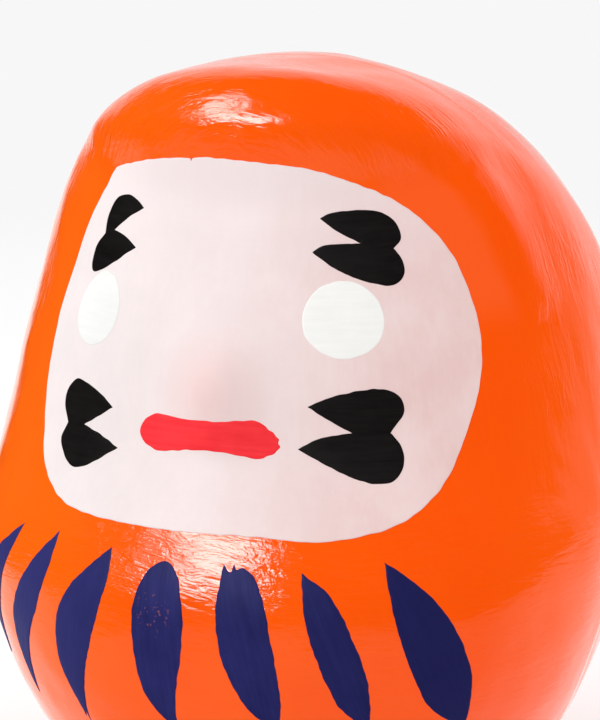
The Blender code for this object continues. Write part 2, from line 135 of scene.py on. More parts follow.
# Paint films: (underside above the body, thickness, rounding of the painted edge, mesh cell)
EDGE_LIFT = 0.02
FACE_FILM = (0.0, 0.16, 0.35, 1.2)
MARK_FILM = (FACE_FILM[1] - EDGE_LIFT, 0.14, 0.30, 1.1)
STROKE_FILM = (0.0, 0.14, 0.30, 1.1)
SINK = 0.25
FILM_MM_PER_DEGREE = 1.05
CURVE_STEPS = 10
OUTLINE_PITCH, OUTLINE_SHORTEST = 0.35, 0.12
ROUNDING_RINGS, RING_CLEARANCE = (0.4, 1.0), 0.9
CELL_ROW_PITCH, CELL_CLEARANCE = 0.87, 0.45
TRIANGLES_INSIDE, TRIANGLE_PRECISION = 1, 1e-5
GRAIN_SEED_STEP = 7.3

# Unsteady hand at the painted edges: (size, pitch)
WOBBLE_WAVES = 7
FACE_WOBBLE, EYE_WOBBLE, MARK_WOBBLE, LOOSE_WOBBLE = (0.05, 4.0), (0.06, 5.0), (0.05, 4.0), (0.06, 4.0)
OVAL_POINTS = 16

# Orange lacquer in linear light: thin and full coat, a sheen painted in as a reflection, and
# painted light and shade across the doll as (x where it starts, x where it is full, share,
# colour): yellower on the lamp-lit -X side, deeper on the shaded +X side, lighter at the +X rim
LACQUER_THIN, LACQUER_FULL = (0.975, 0.090, 0.0008), (0.99, 0.104, 0.0018)
LACQUER_PAINTED_SHEEN = (0.995, 0.108, 0.0135)
LACQUER_LIGHT_AND_SHADE_TINTS = ((-5.0, -60.0, 1.0, (0.985, 0.138, 0.004)), (15.0, 50.0, 0.8, (0.995, 0.086, 0.0012)),
                 (50.0, 64.0, 0.7, (0.985, 0.112, 0.003)))

# Face paint: base, painted light and shade across and up the face (toned down on the lamp-lit
# -X side, pinker and darker on the shaded +X side, paler near the top), mottling, and a
# painted shadow under the nose
FACE_BASE, FACE_MOTTLING = (0.745, 0.675, 0.672), (0.88, 0.78, 0.77)
FACE_LIGHT_AND_SHADE_ACROSS = ((-28.0, 2.0, 1.0, (0.785, 0.672, 0.665)), (0.0, 36.0, 1.0, (0.775, 0.545, 0.525)))
FACE_LIGHT_UP = ((112.0, 130.0, 0.6, (0.86, 0.745, 0.745)),)
NOSE_SHADOW_COLOUR, NOSE_SHADOW_PLACE, NOSE_SHADOW_FADE = (0.765, 0.540, 0.525), (-1.0, 88.5), (2.0, 14.0, 0.95, 0.0)

# Mark paints: (dark, light) of each.  The two eye whites differ only by painted light
# and shade: the right (-X) one, nearer the lamps, is painted darker.  The navy has painted
# light and shade across the robe as tints, lighter on the lamp-lit -X side and darker on the
# +X side, and a patch of reddish-brown specks as (azimuth, height), reach and the specks' colour
LEFT_WHITE_PAINTED_LIGHT_TONES = ((0.84, 0.835, 0.805), (0.88, 0.875, 0.85))
RIGHT_WHITE_PAINTED_SHADE_TONES = ((0.76, 0.76, 0.745), (0.80, 0.80, 0.785))
BLACK_TONES = ((0.005, 0.0035, 0.0035), (0.009, 0.007, 0.007))
RED_TONES = ((0.84, 0.026, 0.036), (0.93, 0.042, 0.050))
NAVY_TONES = ((0.013, 0.014, 0.092), (0.021, 0.022, 0.128))
NAVY_LIGHT_AND_SHADE = ((5.0, 42.0, 0.8, (0.0100, 0.0100, 0.070)), (-12.0, -40.0, 0.75, (0.030, 0.031, 0.160)))
SPECKLE_PLACE, SPECKLE_REACH, SPECKLE_COLOUR = (-7.2, 48.5), 5.0, (0.30, 0.10, 0.07)

# Carried-over CAD pieces: (node, material, dark, light, grain, bump depth)
PAPER_PIECES = (
    ("base_disc", "pasteboard_plug", (0.33, 0.26, 0.17), (0.47, 0.39, 0.28), 0.5, 0.1),
    ("clay_weight", "dried_clay", (0.28, 0.19, 0.125), (0.42, 0.30, 0.21), 0.8, 0.3),
    ("base_paper", "plain_base_paper", (0.66, 0.62, 0.52), (0.77, 0.735, 0.65), 0.45, 0.06),
)

# Outlines of the painted areas.  Every point is (azimuth, height); an outline is a
# closed smooth run, or a list of runs that meet at corners.  An oval is (azimuth,
# height, half its azimuth, half its height).
FACE_OUTLINE = [
    (-42, 127), (-38, 129.6), (-31, 131), (-20, 132.4), (-12.2, 132.9), (-11.2, 132.3),
    (-10.2, 133.0), (-6, 133.2), (8, 132.5),
    (20, 131.4), (30, 129), (38, 126), (44.5, 122.2), (50, 117.6), (54.4, 112.6),
    (57.4, 107), (58.8, 101), (58.2, 95), (56, 89), (53.2, 83.6), (50.4, 79),
    (46.6, 74), (42, 70), (36, 66.5), (29, 64.4), (20, 63.2), (8, 63.9), (-8, 63.8),
    (-24, 64.5), (-34, 66.4), (-43, 71.6), (-48.8, 78.8), (-51.2, 86), (-53, 94),
    (-54, 101.5), (-52.8, 108), (-48, 118.6),
]
RIGHT_EYE = (-36.4, 102.1, 7.6, 7.1)
LEFT_EYE = (27.0, 103.4, 9.2, 7.1)
RIGHT_BROW = [
    [(-27, 121.8), (-30, 123.1), (-34, 123.7), (-38, 122.4), (-40.5, 119), (-40.6, 115.4)],
    [(-40.6, 115.4), (-43.6, 112.5), (-44, 109.4), (-42, 108.4), (-37, 110), (-28, 114.2)],
    [(-28, 114.2), (-32, 115.8), (-37, 116.5)],
    [(-37, 116.5), (-32, 119.5), (-27, 121.8)],
]
LEFT_BROW = [
    [(22, 122), (25.5, 123), (31, 123.2), (37, 122.5), (41, 120), (42, 117), (40, 115.4)],
    [(40, 115.4), (42, 113), (42, 110.6), (39, 109.2), (34, 109.8), (27, 112), (20, 115.8)],
    [(20, 115.8), (24, 117.1), (32, 116.9)],
    [(32, 116.9), (26.5, 119.4), (22, 122)],
]
RIGHT_WHISKERS = [
    [(-26, 84.2), (-30, 86.3), (-35, 87.8), (-39, 88), (-42, 85.6), (-42, 82.6), (-39.4, 79.4)],
    [(-39.4, 79.4), (-40.2, 76.6), (-38.4, 74.4), (-34.5, 72.2), (-30, 72.6), (-23, 76.8)],
    [(-23, 76.8), (-27.5, 78.4), (-34, 79.8)],
    [(-34, 79.8), (-30, 82), (-26, 84.2)],
]
LEFT_WHISKERS = [
    [(19, 87.4), (23, 89), (28, 90.1), (33.5, 90.6), (37.5, 89.6), (39.2, 86.4), (36, 82.3)],
    [(36, 82.3), (38, 79.6), (38, 76.4), (36, 73.9), (32.5, 73.2), (27, 74.6), (17, 79.4)],
    [(17, 79.4), (21.5, 81.5), (28, 82.5)],
    [(28, 82.5), (23.5, 84.8), (19, 87.4)],
]
MOUTH = [
    (-18, 81), (-16.5, 83.4), (-13, 84.4), (-6, 83.7), (2, 83.6), (8, 84.4),
    (10.2, 83.6), (11.1, 82.9), (12.0, 82.5), (12.6, 81.7), (13.3, 81.2), (13.2, 80.4),
    (13.5, 79.8), (12.8, 79.1), (12.2, 78.4), (10.9, 78.0), (9, 77.4), (2, 78.2),
    (-5, 78.2), (-13, 77.5), (-17, 79),
]
STROKES = [
    [
        [(-41, 60.2), (-43.6, 54.6), (-48, 47), (-52.4, 39), (-57, 29)],
        [(-57, 29), (-59.6, 37), (-58, 45.5), (-50, 53.4), (-41, 60.2)],
    ],
    [
        [(-30, 60.6), (-30.6, 54), (-34.6, 44.6), (-40, 35.6), (-44.3, 24)],
        [(-44.3, 24), (-45.2, 35), (-44, 42), (-38, 51), (-30, 60.6)],
    ],
    [
        [(-17, 59.6), (-16.8, 53), (-20, 42.6), (-24, 32.3), (-26.1, 25.4)],
        [(-26.1, 25.4), (-26.6, 22.4)],
        [(-26.6, 22.4), (-26.8, 24.6)],
        [(-26.8, 24.6), (-27.4, 23.2)],
        [(-27.4, 23.2), (-28.0, 26.4), (-30, 34), (-28.8, 43.5), (-24.4, 51.6), (-17, 59.6)],
    ],
    [
        [(-7.7, 27.0), (-10.6, 32), (-11.4, 40), (-11.2, 49), (-9.4, 55.4), (-6, 58.4),
         (-3.2, 55.8), (-1.9, 48.5), (-2.8, 39.5), (-4.4, 32), (-4.9, 26.6)],
        [(-4.9, 26.6), (-5.4, 24.8)],
        [(-5.4, 24.8), (-5.8, 26.0)],
        [(-5.8, 26.0), (-6.4, 24.9)],
        [(-6.4, 24.9), (-6.8, 26.2)],
        [(-6.8, 26.2), (-7.7, 27.0)],
    ],
    [
        [(7.0, 58.0), (8.4, 58.2), (10.3, 56.3), (11.8, 52), (13.2, 43), (14.3, 34), (14.2, 26)],
        [(14.2, 26), (8.6, 31), (4.8, 40), (3.8, 50), (4.8, 58.9)],
        [(4.8, 58.9), (5.5, 57.6)],
        [(5.5, 57.6), (6.1, 57.5)],
        [(6.1, 57.5), (6.5, 59.1)],
        [(6.5, 59.1), (7.0, 58.0)],
    ],
    [
        [(18, 57.8), (22.8, 53.4), (26.4, 45), (29.2, 36), (30.2, 26)],
        [(30.2, 26), (24.4, 31.6), (20.4, 41.4), (18.4, 50), (18, 57.8)],
    ],
    [
        [(32, 59.8), (38.6, 54.2), (44, 46.4), (48.2, 36), (49.2, 25)],
        [(49.2, 25), (41, 30.2), (36, 40), (33, 50.6), (32, 59.8)],
    ],
]


# ---------------------------------------------------------------- surface
def smoothstep(value):
    value = np.clip(value, 0.0, 1.0)
    return value * value * (3.0 - 2.0 * value)


def girth(level):
    """Size of the plain egg at a level, as a fraction of its widest girth."""
    rise = np.clip((level - EGG_CENTRE) / EGG_HALF_HEIGHT, -1.0, 1.0)
    power = np.where(rise > 0.0, ROUNDNESS_UPPER, ROUNDNESS_LOWER)
    return np.clip(1.0 - np.abs(rise) ** power, 0.0, 1.0) ** (1.0 / power)


def swelling(azimuth, level):
    """How far the moulded features stand out of the plain egg."""
    ahead = np.clip(np.cos(np.radians(azimuth)), 0.0, 1.0)
    clear_of_crown = smoothstep(girth(level) / CROWN_BLEND_GIRTH)
    front = CROWN_FRONTNESS + (ahead - CROWN_FRONTNESS) * clear_of_crown
    climb = (level - FACE_LEVEL) / np.where(level > FACE_LEVEL, FACE_ABOVE, FACE_BELOW)
    across = np.abs(azimuth / FACE_HALF_AZIMUTH)
    ring = (across ** FACE_SQUARENESS + np.abs(climb) ** FACE_SQUARENESS) ** (1.0 / FACE_SQUARENESS)
    upper = 1.0 / (1.0 + np.exp(-climb / FACE_EDGE_BLEND))
    edge = FACE_EDGE_LOWER + (FACE_EDGE_UPPER - FACE_EDGE_LOWER) * upper
    out = -FACE_DEPTH * (1.0 - smoothstep((ring - 1.0 + edge) / (2.0 * edge)))
    spread = np.where(level > RIDGE_LEVEL, RIDGE_ABOVE, RIDGE_BELOW)
    ridge = RIDGE_SIZE * np.exp(-np.abs((level - RIDGE_LEVEL) / spread) ** RIDGE_SHARPNESS)
    out = out + ridge * front ** RIDGE_FRONTNESS
    size, centre, spread = BELLY
    out = out + size * np.exp(-((level - centre) / spread) ** 2) * np.sqrt(front)
    size, centre, spread = SHOULDERS
    out = out + size * np.exp(-((level - centre) / spread) ** 2) * (1.0 - front)
    rise = (level - NOSE_LEVEL) / NOSE_SPREAD_LEVEL
    return out + NOSE_SIZE * np.exp(-(azimuth / NOSE_SPREAD_AZIMUTH) ** 2 - rise ** 2)


def wave_set(count, wavelength, size):
    """Random plane waves: (wave vectors, phases, size of each)."""
    way = RNG.normal(size=(count, 3))
    way /= np.linalg.norm(way, axis=1)[:, None]
    pitch = wavelength * RNG.uniform(0.7, 1.4, count)
    phases = RNG.uniform(0, 2 * math.pi, count)
    return way * (2.0 * math.pi / pitch)[:, None], phases, size * math.sqrt(2.0 / count)


LUMPS = [wave_set(*lump_set) for lump_set in LUMP_SETS]


def hood(points):
    """Crest of the hood beside the face: a rounded rib along CREST."""
    out = np.zeros(len(points))
    crest = np.array(CREST)
    for start, end in zip(crest, crest[1:]):
        side = end[:3] - start[:3]
        t = np.clip(((points - start[:3]) @ side) / (side @ side), 0.0, 1.0)
        gap = np.linalg.norm(points - start[:3] - t[:, None] * side, axis=1)
        out = np.maximum(out, (start[3] + (end[3] - start[3]) * t) * np.exp(-(gap / CREST_REACH) ** 2))
    return out


def relief(points):
    """Hood, dip in the crown, hand-pasted unevenness and papered seam, outwards."""
    out = hood(points)
    from_dip = np.sum((points - CROWN_DIP_PLACE) ** 2, axis=1)
    out -= CROWN_DIP_DEPTH * np.exp(-from_dip / CROWN_DIP_REACH ** 2)
    for ways, phases, size in LUMPS:
        out += size * np.sin(points @ ways.T + phases).sum(axis=1)
    out += SEAM_HEIGHT * smoothstep((SEAM_HALF_WIDTH - np.abs(points[:, 1])) / SEAM_EDGE)
    return out


def skin(azimuth, level, lift=0.0, rough=True):
    """Points of the outside of the body, moved outwards by lift."""
    azimuth = np.asarray(azimuth, float)
    level = np.asarray(level, float) + 0.0 * azimuth
    turn = np.radians(azimuth)
    depth = np.where(np.cos(turn) > 0.0, HALF_DEPTH_FRONT, HALF_DEPTH_REAR)
    wide = girth(level)
    base = np.stack([HALF_WIDTH * wide * np.sin(turn), -depth * wide * np.cos(turn),
                     level - EGG_CENTRE], axis=-1)
    way = base / np.linalg.norm(base, axis=-1, keepdims=True)
    wrapped = (azimuth + 180.0) % 360.0 - 180.0
    point = base + way * swelling(wrapped, level)[..., None]
    point[..., 2] += EGG_CENTRE
    extra = np.asarray(lift, float) + 0.0 * azimuth
    if rough:
        extra = extra + relief(point.reshape(-1, 3)).reshape(extra.shape)
    return point + way * extra[..., None]


LEVELS = np.linspace(0.0, HEIGHT - REFERENCE_TOP_GAP, REFERENCE_STEPS)
HEIGHTS = skin(np.full(REFERENCE_STEPS, REFERENCE_AZIMUTH), LEVELS, rough=False)[:, 2]


def level_at(height):
    """Level of a point that stands at this height on the reference line."""
    return np.interp(height, HEIGHTS, LEVELS)


# ---------------------------------------------------------------- meshes
def make_piece(name, points, faces, material, slot, *nodes):
    """A mesh object that carries its material, rides the root body and hides the CAD nodes it replaces."""
    mesh = bpy.data.meshes.new(name)
    mesh.from_pydata([tuple(p) for p in np.asarray(points) * MM], [], faces)
    mesh.validate()
    mesh.shade_smooth()
    mesh.materials.append(material)
    piece = bpy.data.objects.new(name, mesh)
    bpy.context.scene.collection.objects.link(piece)
    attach(piece, "root")
    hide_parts(*nodes)
    return piece


def add_vectors(piece, name, values):
    layer = piece.data.attributes.new(name, "FLOAT_VECTOR", "POINT")
    layer.data.foreach_set("vector", np.asarray(values, np.float32).ravel())


def add_floats(piece, name, values):
    layer = piece.data.attributes.new(name, "FLOAT", "POINT")
    layer.data.foreach_set("value", np.asarray(values, np.float32).ravel())


def even_levels(rows):
    """Levels of rows spaced evenly along the body, judged where it bends most."""
    fine = HEIGHT - np.geomspace(ROW_FIRST_STEP, HEIGHT - FOOT_LEVEL, ROW_STEPS)
    fine = np.concatenate([[HEIGHT], fine])
    steps = np.zeros(len(fine) - 1)
    for azimuth in ROW_AZIMUTHS:
        line = skin(np.full(len(fine), azimuth), fine, rough=False)
        steps = np.maximum(steps, np.linalg.norm(np.diff(line, axis=0), axis=1))
    walked = np.concatenate([[0.0], np.cumsum(steps)])
    return np.interp(np.linspace(0.0, walked[-1], rows + 1)[1:], walked, fine)


def body_rings():
    """Rings of the shell from its crown down, round the foot, in at the opening and up inside."""
    azimuths = np.arange(BODY_COLUMNS) * 360.0 / BODY_COLUMNS - 180.0
    turn = np.radians(azimuths)
    rings = [skin(azimuths, np.full(BODY_COLUMNS, level)) for level in even_levels(BODY_ROWS)]
    foot = rings[-1]
    reach = np.hypot(foot[:, 0], foot[:, 1])
    for step in range(1, FOOT_STEPS + 1):
        angle = math.pi / 2 * step / FOOT_STEPS
        drawn_in = FOOT_ROUNDING * (1.0 - math.cos(angle)) + FOOT_DRAW_IN * step / FOOT_STEPS
        ring = foot * ((reach - drawn_in) / reach)[:, None]
        ring[:, 2] = foot[:, 2] + (FOOT_HEIGHT - foot[:, 2]) * math.sin(angle)
        rings.append(ring)
    rim = np.stack([np.sin(turn), -np.cos(turn)], axis=1) * OPENING_RADIUS
    for height in (FOOT_HEIGHT, FOOT_HEIGHT + WALL):
        rings.append(np.column_stack([rim, np.full(BODY_COLUMNS, height)]))
    inner = [skin(azimuths, np.full(BODY_COLUMNS, level), -WALL, rough=False)
             for level in even_levels(INNER_ROWS)][::-1]
    lowest = inner[0].copy()
    lowest[:, :2] *= INNER_FLOOR_SHARE
    lowest[:, 2] = FOOT_HEIGHT + WALL
    return rings + [lowest] + inner


def build_body(material):
    """The lacquered paper shell as one closed solid: outside, foot, opening, inside."""
    rings = body_rings()
    top = skin(np.zeros(1), np.full(1, HEIGHT))
    under = skin(np.zeros(1), np.full(1, HEIGHT), -WALL, rough=False)
    points = np.concatenate([top] + rings + [under])
    count = BODY_COLUMNS
    around = [(column, (column + 1) % count) for column in range(count)]
    faces = [(0, 1 + column, 1 + after) for column, after in around]
    for row in range(len(rings) - 1):
        upper = 1 + row * count
        lower = upper + count
        faces += [(upper + column, lower + column, lower + after, upper + after)
                  for column, after in around]
    last = 1 + (len(rings) - 1) * count
    faces += [(last + column, len(points) - 1, last + after) for column, after in around]
    piece = make_piece("lacquered_body", points, faces, material, "orange_lacquer",
                       "front_shell", "rear_shell", "seam_paper_left", "seam_paper_right",
                       "seam_paper_crown")
    add_brush_fields(piece, points)
    add_wrinkle_and_sheen_fields(piece, points)


def add_brush_fields(piece, points):
    """Brush directions, each as its way across and along: rings in front, level behind."""
    x, y, z = points.T
    rise = z - RING_CENTRE_HEIGHT
    away = np.arccos(-y / np.sqrt(x * x + y * y + rise ** 2))
    around = np.arctan2(rise - RING_LIFT, x)
    add_vectors(piece, "brush", np.stack([away * RING_RADIUS, RING_TURN_RADIUS * np.cos(around),
                                          RING_TURN_RADIUS * np.sin(around)], axis=1))
    waver = LEVEL_STROKE_WAVER * np.sin(x / LEVEL_STROKE_WAVE)
    add_vectors(piece, "brush_rear", np.stack([z + waver, x, y], axis=1))
    on_robe = smoothstep((ROBE_TOP - z) / ROBE_BLEND)
    add_floats(piece, "rear", np.maximum(smoothstep((y - REAR_START) / REAR_BLEND), on_robe))


def add_wrinkle_and_sheen_fields(piece, points):
    """Where the lacquer is wrinkled, and where a reflection is painted in as a paler sheen."""
    x, y, z = points.T
    round_about = np.degrees(np.arctan2(x, -y))
    worked = np.full(len(points), WORKED_EVERYWHERE)
    for azimuth, height, wide, tall, gain in WORKED:
        worked += gain * np.exp(-((round_about - azimuth) / wide) ** 2 - ((z - height) / tall) ** 2)
    add_floats(piece, "worked", worked)
    crest_x, crest_y, crest_z = np.array(CREST)[::-1, :3].T
    crest_azimuth = np.degrees(np.arctan2(crest_x, -crest_y))
    end_height, end_azimuth = SHEEN_CROWN_END
    rib = np.interp(z, np.append(crest_z, end_height), np.append(crest_azimuth, end_azimuth))
    pale = smoothstep((rib - SHEEN_RIB_EDGE[0] - round_about) / SHEEN_RIB_EDGE[1])
    pale *= smoothstep((round_about - SHEEN_FACE_EDGE[0]) / SHEEN_FACE_EDGE[1])
    pale *= smoothstep((z - SHEEN_LOW_EDGE[0]) / SHEEN_LOW_EDGE[1])
    pale *= smoothstep((SHEEN_HIGH_EDGE[0] - z) / SHEEN_HIGH_EDGE[1])
    add_floats(piece, "pale", pale)


# ---------------------------------------------------------------- painted outlines
def curve_through(points, closed):
    """Smooth curve through the points; an open run leaves its last point to the next run."""
    points = np.asarray(points, float)
    count = len(points)
    out = []
    for index in range(count if closed else count - 1):
        if closed:
            p0, p1, p2, p3 = (points[(index + k) % count] for k in (-1, 0, 1, 2))
        else:
            p0, p1 = points[max(index - 1, 0)], points[index]
            p2, p3 = points[index + 1], points[min(index + 2, count - 1)]
        for step in range(CURVE_STEPS):
            t = step / CURVE_STEPS
            out.append(0.5 * (2 * p1 + (p2 - p0) * t + (2 * p0 - 5 * p1 + 4 * p2 - p3) * t * t
                              + (3 * p1 - p0 - 3 * p2 + p3) * t ** 3))
    return np.array(out)


def oval(azimuth, height, half_azimuth, half_height):
    turns = [2.0 * math.pi * step / OVAL_POINTS for step in range(OVAL_POINTS)]
    return [(azimuth + half_azimuth * math.cos(t), height + half_height * math.sin(t)) for t in turns]


def outline_of(shape):
    """Fine outline, flattened to millimetres, of a smooth shape or of runs with corners."""
    if isinstance(shape[0], list):
        path = np.concatenate([curve_through(run, False) for run in shape])
    else:
        path = curve_through(shape, True)
    return resample(path * (FILM_MM_PER_DEGREE, 1.0))


def resample(path):
    """Even steps along each side, keeping the path's own corners."""
    out = []
    for start, end in zip(path, np.roll(path, -1, axis=0)):
        parts = max(1, int(np.linalg.norm(end - start) / OUTLINE_PITCH))
        out += [start + (end - start) * k / parts for k in range(parts)]
    kept = [out[0]]
    for point in out[1:]:
        if np.linalg.norm(point - kept[-1]) > OUTLINE_SHORTEST:
            kept.append(point)
    return np.array(kept)


def normals_in(path):
    """Unit normals of a closed path, towards its inside."""
    along = np.roll(path, -1, axis=0) - np.roll(path, 1, axis=0)
    along /= np.maximum(np.linalg.norm(along, axis=1), TINY)[:, None]
    area = np.sum(path[:, 0] * np.roll(path[:, 1], -1) - np.roll(path[:, 0], -1) * path[:, 1])
    side = np.stack([-along[:, 1], along[:, 0]], axis=1)
    return side if area > 0 else -side


def wobble(path, size, pitch):
    """Unsteady hand: shift the outline in and out along its normals."""
    walked = np.concatenate([[0.0], np.cumsum(np.linalg.norm(np.diff(path, axis=0), axis=1))])
    length = walked[-1] + np.linalg.norm(path[0] - path[-1])
    shift = np.zeros(len(path))
    for _ in range(WOBBLE_WAVES):
        turns = max(1, round(length / (pitch * RNG.uniform(0.5, 2.2))))
        wave = np.sin(walked / length * 2 * math.pi * turns + RNG.uniform(0, 6.28))
        shift += wave * size * RNG.uniform(0.4, 1.0)
    return path + normals_in(path) * (shift * 0.5)[:, None]


def inside(points, path):
    """Which points lie inside a closed path."""
    hit = np.zeros(len(points), bool)
    x, y = points[:, 0], points[:, 1]
    for (ax, ay), (bx, by) in zip(path, np.roll(path, -1, axis=0)):
        crossing = (ay > y) != (by > y)
        if by != ay:
            hit ^= crossing & (x < (bx - ax) * (y - ay) / (by - ay) + ax)
    return hit


def edge_distance(points, path):
    """Distance of each point from a closed path."""
    nearest = np.full(len(points), np.inf)
    for a, b in zip(path, np.roll(path, -1, axis=0)):
        side = b - a
        t = np.clip(((points - a) @ side) / max(side @ side, TINY), 0.0, 1.0)
        nearest = np.minimum(nearest, np.linalg.norm(points - a - t[:, None] * side, axis=1))
    return nearest


# ---------------------------------------------------------------- paint films
def film_plan(path, rounding, cell):
    """Flat triangle mesh of a film: its outline, two rings for the rounded edge, a grid inside."""
    parts = [path]
    for offset in (share * rounding for share in ROUNDING_RINGS):
        ring = path + normals_in(path) * offset
        parts.append(ring[inside(ring, path) & (edge_distance(ring, path) > RING_CLEARANCE * offset)])
    low, high = path.min(axis=0), path.max(axis=0)
    rows = []
    for row, y in enumerate(np.arange(low[1], high[1], cell * CELL_ROW_PITCH)):
        xs = np.arange(low[0] + 0.5 * cell * (row % 2), high[0], cell)
        rows.append(np.stack([xs, np.full(len(xs), y)], axis=1))
    grid = np.concatenate(rows)
    clear = edge_distance(grid, path) > rounding + CELL_CLEARANCE * cell
    parts.append(grid[inside(grid, path) & clear])
    rim = len(path)
    plan, _, triangles, _, _, _ = delaunay_2d_cdt([Vector(p) for p in np.concatenate(parts)],
                                                  [(k, (k + 1) % rim) for k in range(rim)], [],
                                                  TRIANGLES_INSIDE, TRIANGLE_PRECISION)
    return np.array([tuple(p) for p in plan]), triangles


def film_faces(triangles, count):
    """Faces of a film: upper sheet, lower sheet, and walls where the triangles end."""
    faces = [tuple(face) for face in triangles]
    faces += [tuple(index + count for index in reversed(face)) for face in triangles]
    used = {}
    for face in triangles:
        for start, end in zip(face, list(face[1:]) + [face[0]]):
            used.setdefault(frozenset((start, end)), []).append((start, end))
    for pair in used.values():
        if len(pair) == 1:
            start, end = pair[0]
            faces.append((end, start, start + count, end + count))
    return faces


def film(name, node, path, layer, material, slot, grain):
    """A closed film of paint on the body: domed to its edge and sunk a little underneath."""
    under, thick, rounding, cell = layer
    plan, triangles = film_plan(path, rounding, cell)
    azimuth, level = plan[:, 0] / FILM_MM_PER_DEGREE, level_at(plan[:, 1])
    share = np.clip(edge_distance(plan, path) / rounding, 0.0, 1.0)
    lift = under + EDGE_LIFT + (thick - EDGE_LIFT) * np.sqrt(1.0 - (1.0 - share) ** 2)
    upper = skin(azimuth, level, lift)
    lower = skin(azimuth, level, under - SINK)
    count = len(plan)
    piece = make_piece(name, np.concatenate([upper, lower]), film_faces(triangles, count),
                       material, slot, node)
    across, along = grain(plan)
    seed = np.full(count, len(bpy.data.objects) * GRAIN_SEED_STEP)
    add_vectors(piece, "brush", np.tile(np.stack([across, along, seed], axis=1), (2, 1)))


def level_grain(plan):
    """Brush grain straight across: (across the brush, along it)."""
    return plan[:, 1], plan[:, 0]


def grain_along(path):
    """Brush grain along the longest axis of an outline."""
    centre = path.mean(axis=0)
    _, _, axes = np.linalg.svd(path - centre, full_matrices=False)
    main = axes[0] if axes[0][1] >= 0 else -axes[0]
    side = np.array([-main[1], main[0]])
    return lambda plan: ((plan - centre) @ side, (plan - centre) @ main)


# ---------------------------------------------------------------- shader nodes
def start_material(name):
    material = bpy.data.materials.new(name)
    material.use_nodes = True
    tree = material.node_tree
    return material, tree, tree.nodes["Principled BSDF"]


def feed(tree, sockets, values):
    """Set each socket, or link it to the socket given; a tuple is a colour."""
    for socket, value in zip(sockets, values):
        if isinstance(value, bpy.types.NodeSocket):
            tree.links.new(value, socket)
        elif isinstance(value, tuple):
            socket.default_value = (*value, 1.0)
        else:
            socket.default_value = value


def maths(tree, operation, *values):
    node = tree.nodes.new("ShaderNodeMath")
    node.operation = operation
    feed(tree, node.inputs, values)
    return node.outputs[0]


def mapped(tree, value, low, high, at_low, at_high):
    """Straight ramp between two values, level beyond them."""
    node = tree.nodes.new("ShaderNodeMapRange")
    node.clamp = True
    feed(tree, node.inputs, (value, low, high, at_low, at_high))
    return node.outputs[0]


def vector_maths(tree, operation, vector, other=(0.0, 0.0, 0.0)):
    node = tree.nodes.new("ShaderNodeVectorMath")
    node.operation = operation
    tree.links.new(vector, node.inputs[0])
    node.inputs[1].default_value = other
    return node


def scaled(tree, vector, scale):
    return vector_maths(tree, "MULTIPLY", vector, scale).outputs[0]


def xyz_of(tree, vector):
    node = tree.nodes.new("ShaderNodeSeparateXYZ")
    tree.links.new(vector, node.inputs[0])
    return node.outputs


def attribute(tree, name, output="Vector"):
    node = tree.nodes.new("ShaderNodeAttribute")
    node.attribute_name = name
    return node.outputs[output]


def object_place(tree):
    """Place on the object in millimetres."""
    coordinates = tree.nodes.new("ShaderNodeTexCoord").outputs["Object"]
    return scaled(tree, coordinates, (1.0 / MM, 1.0 / MM, 1.0 / MM))


def noise(tree, vector, size, detail=2.0, roughness=0.5, twist=0.0):
    """Noise whose coarsest lumps are this size."""
    node = tree.nodes.new("ShaderNodeTexNoise")
    tree.links.new(vector, node.inputs["Vector"])
    node.inputs["Scale"].default_value = 1.0 / size
    node.inputs["Detail"].default_value = detail
    node.inputs["Roughness"].default_value = roughness
    node.inputs["Distortion"].default_value = twist
    return node.outputs["Fac"]


def streaks(tree, vector, across, along, detail=2.0, roughness=0.55, twist=0.0):
    """Noise drawn out along the brush: across and along are its sizes."""
    drawn_out = scaled(tree, vector, (1.0 / across, 1.0 / along, 1.0 / along))
    return noise(tree, drawn_out, 1.0, detail, roughness, twist)


def mix_colour(tree, share, first, second):
    node = tree.nodes.new("ShaderNodeMix")
    node.data_type = "RGBA"
    feed(tree, (node.inputs[0], node.inputs[6], node.inputs[7]), (share, first, second))
    return node.outputs[2]


def mix_value(tree, share, first, second):
    return maths(tree, "MULTIPLY_ADD", share, maths(tree, "SUBTRACT", second, first), first)


def tone_of(tree, first, second, share, swing):
    """Mottled tone, 0 to 1, from two noises that swing this far round their middle."""
    mixed = mix_value(tree, share, first, second)
    return mapped(tree, mixed, 0.5 - swing, 0.5 + swing, 0.0, 1.0)


def tinted(tree, along, colour, tints):
    """Mix in further colours by place: (where it starts, where it is full, share, colour)."""
    for start, full, share, tint in tints:
        colour = mix_colour(tree, mapped(tree, along, start, full, 0.0, share), colour, tint)
    return colour


def bump(tree, shader, height, depth):
    node = tree.nodes.new("ShaderNodeBump")
    node.inputs["Strength"].default_value = 1.0
    node.inputs["Distance"].default_value = depth * MM
    tree.links.new(height, node.inputs["Height"])
    tree.links.new(node.outputs["Normal"], shader.inputs["Normal"])


def pinholes(tree, place, cell, radius, share):
    """Sparse small dots: 1 at a dot's centre, 0 away from it."""
    node = tree.nodes.new("ShaderNodeTexVoronoi")
    node.feature = "F1"
    tree.links.new(place, node.inputs["Vector"])
    node.inputs["Scale"].default_value = 1.0 / cell
    split = tree.nodes.new("ShaderNodeSeparateColor")
    tree.links.new(node.outputs["Color"], split.inputs[0])
    dot = mapped(tree, node.outputs["Distance"], 0.0, radius / cell, 1.0, 0.0)
    chosen = maths(tree, "GREATER_THAN", split.outputs[0], 1.0 - share)
    return maths(tree, "MULTIPLY", dot, chosen)


